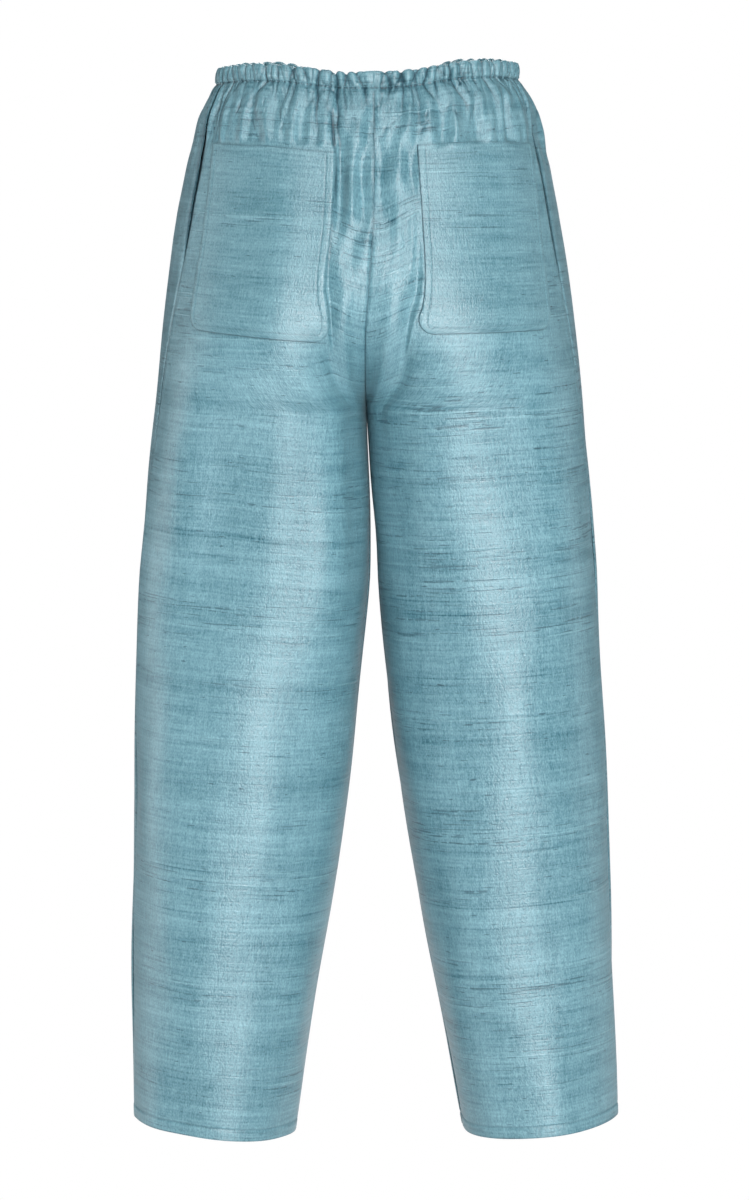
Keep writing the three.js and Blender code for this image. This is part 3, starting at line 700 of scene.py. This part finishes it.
bands, lines, picks = streaks(1.1, 30, 2), streaks(4, 120, 2, 7), streaks(27, 420, 1, 13)
warps, dashes, warp_bands = streaks(600, 70, 1, 19), streaks(980, 420, 1, 29), streaks(60, 1.5, 1, 23)
slub_rows = between(streaks(0.9, 24, 1, 31), 0.4, 0.66, 0.15, 1)
broken = between(streaks(150, 300, 1, 67), 0.3, 0.5)
dark_slubs = product(product(between(streaks(20, 470, 1, 37), 0.58, 0.69), slub_rows), broken)
light_slubs = product(between(streaks(7, 300, 1, 53), 0.6, 0.74), slub_rows)
flecks = between(streaks(90, 520, 0, 41), 0.79, 0.84)
tone = sums((bands, 1.1), (lines, 0.65), (picks, 1.1), (warps, 1.0), (dashes, 1.8), (warp_bands, 0.45))
tone = added(tone, light_slubs, 0.45)
uneven = between(picks, 0.3, 0.62, 1.0, 0.5)
for name, share, drop, half_length, half_width, lighter in WEFT_MARKS:
    middle = cloth_coordinates(name, np.array(share), np.array(float(drop)))
    scale = np.array([1000 / half_length, 1000 / half_width, 5])
    place = {0: cloth_at, 1: tuple(scale), 2: tuple(-middle * scale)}
    place = node(weave_group, "ShaderNodeVectorMath", place, operation="MULTIPLY_ADD").outputs["Vector"]
    away = node(weave_group, "ShaderNodeVectorMath", {0: place}, operation="LENGTH").outputs["Value"]
    tone = added(tone, between(away, 0.4, 1, lighter, 0), uneven)
colour = mixed(weave_group, tone, weave_in.outputs["Dark"], weave_in.outputs["Light"], clamp_factor=False)
for marks, strength in ((dark_slubs, 0.75), (flecks, 0.85)):
    amount = between(product(marks, weave_in.outputs["Slubs"]), 0, 1, 0, strength)
    colour = mixed(weave_group, amount, colour, (0.3, 0.4, 0.44, 1), blend_type="MULTIPLY")
# Painted shade: the mesh's shade attribute darkens the colour in folds, seams, stitches, pocket edges and
# mouths, and between the legs.
colour = mixed(weave_group, painted_shade, colour, (0.14, 0.24, 0.28, 1), blend_type="MULTIPLY")
gloss = between(sums((dashes, 1.0), (warps, 0.6), (lines, 0.6)), 0.2, 0.8, 0.32, 0.5)
height = sums((dashes, 1.0), (warps, 0.5), (picks, 0.7), (lines, 0.4), (dark_slubs, -0.6), (light_slubs, 0.9))
node(weave_group, "NodeGroupOutput", {"Color": colour, "Roughness": gloss, "Height": height})


def silk(name, dark, light, slubs=1.0, bump=0.4):
    """Raw silk: a broad gloss across its horizontal wefts, and a soft sheen at the turned edges."""
    material = bpy.data.materials.new(name)
    material.use_nodes = True
    tree = material.node_tree
    bsdf = tree.nodes["Principled BSDF"]
    weave = node(tree, "ShaderNodeGroup", node_tree=weave_group)
    colours = {"Dark": (*dark, 1), "Light": (*light, 1), "Slubs": slubs}
    for socket, value in colours.items():
        weave.inputs[socket].default_value = value
    relief = node(tree, "ShaderNodeBump", {"Height": weave.outputs["Height"], "Strength": bump, "Distance": MM})
    tree.links.new(weave.outputs["Color"], bsdf.inputs["Base Color"])
    tree.links.new(weave.outputs["Roughness"], bsdf.inputs["Roughness"])
    tree.links.new(relief.outputs["Normal"], bsdf.inputs["Normal"])
    tangent = node(tree, "ShaderNodeTangent", direction_type="RADIAL", axis="Z")
    tree.links.new(tangent.outputs[0], bsdf.inputs["Tangent"])
    settings = {
        "IOR": 1.55,
        "Specular IOR Level": 0.68,
        "Anisotropic": 0.5,
        "Anisotropic Rotation": 0.25,
        "Sheen Weight": 0.06,
        "Sheen Roughness": 0.4,
        "Sheen Tint": (0.75, 0.93, 1, 1),
    }
    for socket, value in settings.items():
        bsdf.inputs[socket].default_value = value
    return material


panel_silk = silk("panel_silk", (0.075, 0.198, 0.244), (0.178, 0.35, 0.408))

# The rows of stitches are of matching twisted thread: each stitch comes up, lies on the cloth and goes in.
thread = bpy.data.materials.new("thread")
thread.use_nodes = True
thread_tree = thread.node_tree
thread_at = node(thread_tree, "ShaderNodeAttribute", attribute_name="cloth").outputs["Vector"]
ply = node(thread_tree, "ShaderNodeTexWave", {"Vector": thread_at, "Scale": 420.0}, bands_direction="DIAGONAL")
thread_tone = mixed(thread_tree, ply.outputs["Fac"], (0.09, 0.215, 0.26, 1), (0.2, 0.38, 0.44, 1))
twist = node(thread_tree, "ShaderNodeBump", {"Height": ply.outputs["Fac"], "Strength": 0.5, "Distance": 0.0001})
thread_bsdf = thread_tree.nodes["Principled BSDF"]
thread_tree.links.new(thread_tone, thread_bsdf.inputs["Base Color"])
thread_tree.links.new(twist.outputs["Normal"], thread_bsdf.inputs["Normal"])
thread_bsdf.inputs["Roughness"].default_value = 0.42
# The thread's radius and the stitches' length. A stitch's stations are shares of its length, and each has a
# height over the cloth and a share of the full girth.
THREAD, STITCH, THREAD_SIDES = 0.21, 2.9, 6
STATIONS = np.array([0.05, 0.2, 0.5, 0.8, 0.95])
STATION_HEIGHTS, STATION_GIRTHS = np.array([-0.12, 0.1, 0.17, 0.1, -0.12]), np.array([0.5, 1, 1, 1, 0.5])


def stitched_rows(name, rows):
    """One piece of thread from lines of points on the cloth, in millimetres, and their normals."""
    angles = np.arange(THREAD_SIDES) * math.pi / 3
    points, coordinates = [], []
    for line, normals in rows:
        run = np.concatenate([[0], np.cumsum(np.linalg.norm(np.diff(line, axis=0), axis=1))])
        at = np.arange(0, run[-1] - STITCH, STITCH)[:, None] + STITCH * STATIONS
        centre = np.stack([np.interp(at, run, line[:, k]) for k in range(3)], axis=-1)
        normal = np.stack([np.interp(at, run, normals[:, k]) for k in range(3)], axis=-1)
        beside = np.cross(normal, unit(centre[:, -1:] - centre[:, :1]))
        centre = centre + STATION_HEIGHTS[:, None] * normal
        around = np.cos(angles)[:, None] * beside[:, :, None] + np.sin(angles)[:, None] * normal[:, :, None]
        points.append((centre[:, :, None] + THREAD * STATION_GIRTHS[:, None, None] * around).reshape(-1, 3))
        places = np.broadcast_to(np.stack([at, at * 0, at * 0], axis=-1)[:, :, None], around.shape).copy()
        places[..., 1] = angles * THREAD
        coordinates.append(places.reshape(-1, 3))
    points, coordinates = np.concatenate(points) * MM, np.concatenate(coordinates) * MM
    ids = np.arange(len(points)).reshape(-1, len(STATIONS), THREAD_SIDES)
    turned = np.roll(ids, -1, axis=2)
    sides = np.stack([ids[:, :-1], turned[:, :-1], turned[:, 1:], ids[:, 1:]], axis=-1).reshape(-1, 4)
    ends = np.concatenate([ids[:, 0][:, [0, 1, 2, 3, 0, 3, 4, 5]], ids[:, -1][:, [3, 2, 1, 0, 5, 4, 3, 0]]])
    piece = quad_piece(name, points, np.concatenate([sides, ends.reshape(-1, 4)]), coordinates)
    piece.data.materials.append(thread)
    return piece


def thread_line(name, share, drop, lift=0.1):
    """A line for stitches just over a panel's cloth, and the normals there."""
    line, normal = cloth_points(name, share, np.full_like(share, drop))
    return line + lift * normal, normal


# Rows lie closest where the elastic gathers the cloth, and at the hem.
PANEL_COLUMNS = 270
PANEL_DROPS = np.concatenate([
    np.arange(STITCH_ROW - 0.4, 24, 0.9),
    np.arange(24, 110, 2.0),
    np.arange(110, 330, 4.4),
    np.arange(330, 1014, 16),
    np.linspace(1014, HEM, 24),
])
for name, panel in PANELS.items():
    share, drop = np.meshgrid(np.linspace(0, 1, PANEL_COLUMNS + 1), PANEL_DROPS)
    outer, lean = cloth_surface(name, share, drop)
    thick = CLOTH + (HEM_CLOTH - CLOTH) * smooth(HEM_TURN - 1, HEM_TURN, drop)
    centre = (share > 0.999) & (drop < FORK + 60)
    lean[..., 0] = np.where(centre & (panel["side"] * lean[..., 0] < 0), 0, lean[..., 0])
    inner = outer - thick[..., None] * lean
    # Painted shade for the panel's folds, seams, stitches and hem, and between the legs.
    shade = painted_fold_shade(name, share, drop)
    piece = cloth_wall(name + "_cloth", outer, inner, cloth_coordinates(name, share, drop), shade)
    piece.data.materials.append(panel_silk)
    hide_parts(name)
    hem_line = thread_line(name, np.linspace(0.01, 0.99, 300), HEM_ROW)
    hem_thread = stitched_rows(name + "_hem_thread", [hem_line])

# ---------------------------------------------------------------- waist casing
# A folded strip of the same silk over 16 mm elastic. It is sewn to the panels' tops, and one row of
# stitches along its foot closes the tunnel. The elastic draws it up into small uneven puffs.
CASING_DROPS = np.array([0, 0.4, 1.1, 2.2, 3.6, 5.2, 7.0, 8.8, 10.6, 12.2, 13.6, 14.7, 15.5, 16.1, STITCH_ROW])
CASING_COLUMNS, CASING_THICK, CASING_ROW = 380, 2.6, STITCH_ROW - 1.3
# The cloth of a quarter of the casing in metres, and how the fold along its top rounds off by drop.
QUARTER_CLOTH = 0.42
ROUND_DROPS, ROUND_SHARES = [0, 0.4, 1.1, 2.2], [0.25, 0.6, 0.88, 1]


def casing_quarter(name):
    """Outer and inner points, weave coordinates and painted shade of the casing over one panel, all one way
    round.
    """
    share, drop = np.meshgrid(np.linspace(0, 1, CASING_COLUMNS + 1), CASING_DROPS)
    outer, normal = cloth_surface(name, share, drop)
    outer[..., 2] -= 0.7 * crease_depth(name, share, drop) * (1 - smooth(0, 7, drop))
    inner = outer - CASING_THICK * normal
    around, seed = (share - 0.5) * QUARTER_CLOTH, np.full_like(share, PANELS[name]["seed"] * 2.3)
    coordinates = np.stack([around, drop * MM, seed], axis=-1)
    grids = [outer, inner, coordinates, painted_fold_shade(name, share, drop)]
    if PANELS[name]["face"] * PANELS[name]["side"] < 0:
        grids = [grid[:, ::-1] for grid in grids]
    return [grid[:, :-1] for grid in grids]


quarters = [casing_quarter(name) for name in ("back_left", "back_right", "front_right", "front_left")]
outer, inner, coordinates, shade = (np.concatenate(grids, axis=1) for grids in zip(*quarters))
round_top = np.interp(CASING_DROPS, ROUND_DROPS, ROUND_SHARES)[:, None, None]
middle = (outer + inner) / 2
outer, inner = middle + (outer - middle) * round_top, middle + (inner - middle) * round_top
casing = cloth_wall("waistband_cloth", outer, inner, coordinates, shade, ring=True)
casing.data.materials.append(silk("casing_silk", (0.078, 0.203, 0.247), (0.182, 0.358, 0.415), 0.7, 0.3))
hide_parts("waistband")
casing_lines = [thread_line(name, np.linspace(0.002, 0.998, 420), CASING_ROW) for name in PANELS]
casing_thread = stitched_rows("waistband_thread", casing_lines)

# ---------------------------------------------------------------- patch pockets
# Each is one piece of the silk with its edges turned in all round and its lower corners rounded. The top is
# hemmed, and one row of stitches along the sides and foot holds it to the back panel.
PATCH_LIE, PATCH_CLOTH, PATCH_CORNER = 0.3, 0.9, 18.0
# How far the edge rolls up, the turned-in cloth and the top hem stand proud, and the stitches sink in. They
# lie STITCH_INSET in from the edge.
EDGE_ROLL, TURNED_IN, TOP_HEM, GROOVE, STITCH_INSET = 0.4, 0.25, 0.25, 0.35, 6.3
# How dark the painted shadow line under each edge is: outer side, inner side, foot and top.
EDGE_SHADES = {"back_left": (0.1, 0.35, 0.85, 0.5), "back_right": (0.25, 0.95, 0.75, 0.35)}
pocket_silk = silk("pocket_silk", (0.076, 0.195, 0.238), (0.175, 0.34, 0.395), 0.8)


def patch_place(name, across, down):
    """Share and drop on the panel of a place on a patch pocket, both from 0 to 1."""
    patch = PATCHES[name]
    height = patch["drop"][1] - patch["drop"][0]
    width_here = panel_width(PANELS[name], patch["drop"][0] + height * down)
    inset = corner_inset(PATCH_CORNER, (1 - down) * height) / width_here
    start = patch["outer"][0] + (patch["outer"][1] - patch["outer"][0]) * down + inset
    end = patch["inner"][0] + (patch["inner"][1] - patch["inner"][0]) * down - inset
    top, foot = patch["drop"][0] + patch["slope"][0] * across, patch["drop"][1] + patch["slope"][1] * across
    return start + (end - start) * across, top + (foot - top) * down


def patch_row(name):
    """The line of stitches down one side of a patch pocket, round its foot and up the other side."""
    top, foot = PATCHES[name]["drop"]
    height = foot - top
    span = panel_width(PANELS[name], (top + foot) / 2) * (PATCHES[name]["inner"][0] - PATCHES[name]["outer"][0])
    round_in = PATCH_CORNER - STITCH_INSET
    bend = np.linspace(0, math.pi / 2, 24)
    side = np.stack([np.full(160, STITCH_INSET), np.linspace(height - 2, PATCH_CORNER, 160)], axis=-1)
    corner = PATCH_CORNER - round_in * np.stack([np.cos(bend), np.sin(bend)], axis=-1)
    half = np.concatenate([side, corner[1:], [[span / 2, STITCH_INSET]]])
    x, up = np.concatenate([half, np.stack([span - half[-2::-1, 0], half[-2::-1, 1]], axis=-1)]).T
    inset = corner_inset(PATCH_CORNER, up)
    return patch_place(name, (x - inset) / (span - 2 * inset), 1 - up / height)


# Rows and columns of points lie closest at the edges, where the cloth rolls over and the stitches lie.
PATCH_WIDTH = 132
patch_foot = 1 - 0.12 * (1 - np.linspace(0, 1, 26)[1:]) ** 1.7
patch_downs = np.concatenate([[0, 0.003, 0.006], np.linspace(0.01, 0.88, 80), patch_foot])
patch_side = np.array([0, 0.5, 1.0, 1.6, 2.4, 3.6, 4.8, 5.5, 5.9, 6.3, 6.7, 7.1, 8, 9.5]) / PATCH_WIDTH
patch_middle = np.linspace(patch_side[-1], 1 - patch_side[-1], 76)[1:-1]
patch_acrosses = np.concatenate([patch_side, patch_middle, 1 - patch_side[::-1]])
for name in PATCHES:
    pocket_name = name.replace("back_", "back_pocket_")
    across, down = np.meshgrid(patch_acrosses, patch_downs)
    share, drop = patch_place(name, across, down)
    points, normal = cloth_surface(name, share, drop)
    height = PATCHES[name]["drop"][1] - PATCHES[name]["drop"][0]
    span = (share[:, -1:] - share[:, :1]) * panel_width(PANELS[name], drop)
    edge = np.minimum(np.minimum(across, 1 - across) * span, (1 - down) * height)
    rolled = EDGE_ROLL * np.sqrt(np.clip(edge / 1.6, 0, 1)) - TURNED_IN * smooth(6.5, 8.5, edge)
    groove = GROOVE * near(edge - STITCH_INSET, 0.7) * smooth(0, 0.02, down)
    from_edges = (across * span, (1 - across) * span, (1 - down) * height, down * height)
    # Painted shadow along each edge, where the rolled edge shades the cloth, and painted shade in the stitch
    # groove, stronger towards the inner side.
    shade = sum(dark * near(away, 0.9) for dark, away in zip(EDGE_SHADES[name], from_edges))
    painted_groove_shade = 0.06 + 0.3 * smooth(0.1, 0.5, across)
    shade = np.clip(shade + painted_groove_shade * near(edge - STITCH_INSET, 0.6) * smooth(0, 0.02, down), 0, 1)
    top_hem = TOP_HEM * (1 - smooth(16, 18, down * height))
    lift = PATCH_LIE + PATCH_CLOTH + rolled - groove + top_hem
    outer, inner = points + lift[..., None] * normal, points + PATCH_LIE * normal
    seed = np.full_like(share, 61.0 + len(name))
    coordinates = np.stack([across * span * MM, down * height * MM, seed], axis=-1)
    pocket = cloth_wall(pocket_name + "_cloth", outer, inner, coordinates, shade)
    pocket.data.materials.append(pocket_silk)
    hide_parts(pocket_name)
    pocket_line = thread_line(name, *patch_row(name), lift=PATCH_LIE + PATCH_CLOTH + 0.2)
    pocket_thread = stitched_rows(pocket_name + "_thread", [pocket_line])

# ---------------------------------------------------------------- side seam pockets
# Two layers of silk hang inside the front panel and show only as the dark gap of the mouth. They are sewn to
# both edges of the side seam's opening. Their silk is a darker copy of the panels' and carries painted shade,
# standing in for the shade inside the mouth.
BAG_TOP, BAG_FOOT, BAG_CORNER, BAG_WIDTH = 58.0, 302.0, 55.0, 0.17
# From how many degrees behind the side seam to how many before it, how far inside the panel, and how thick.
BAG_BEHIND, BAG_REACH, BAG_IN, BAG_CLOTH = 6.0, 60.0, 2.2, 1.4
bag_silk = silk("bag_silk", (0.06, 0.17, 0.22), (0.12, 0.28, 0.34), 0.5)
for side, label in ((LEFT, "left"), (RIGHT, "right")):
    across, down = np.meshgrid(np.linspace(0, 1, 41), np.linspace(0, 1, 61))
    drop = BAG_TOP + (BAG_FOOT - BAG_TOP) * down
    inset = corner_inset(BAG_CORNER, (1 - down) * (BAG_FOOT - BAG_TOP))
    half_width, _, _, seam_turn = tube(side, drop)
    start = seam_turn + math.radians(BAG_BEHIND)
    end = seam_turn - math.radians(BAG_REACH) + inset / half_width
    turn = start + (end - start) * across
    points = body_point(side, turn, drop)
    normal = normals_of(points, -side)
    inside = BAG_IN + 5.5 * (1 - smooth(0, 0.4, down)) * smooth(0, 0.25, across)
    outer, inner = points - inside[..., None] * normal, points - (inside + BAG_CLOTH)[..., None] * normal
    coordinates = np.stack([across * BAG_WIDTH, drop * MM, np.full_like(drop, 80.0 + side)], axis=-1)
    # Painted shade of 0.85 all over the bag's outer side.
    bag = cloth_wall("side_pocket_bag_%s_cloth" % label, outer, inner, coordinates, 0.85)
    bag.data.materials.append(bag_silk)
    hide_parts("side_pocket_bag_" + label)
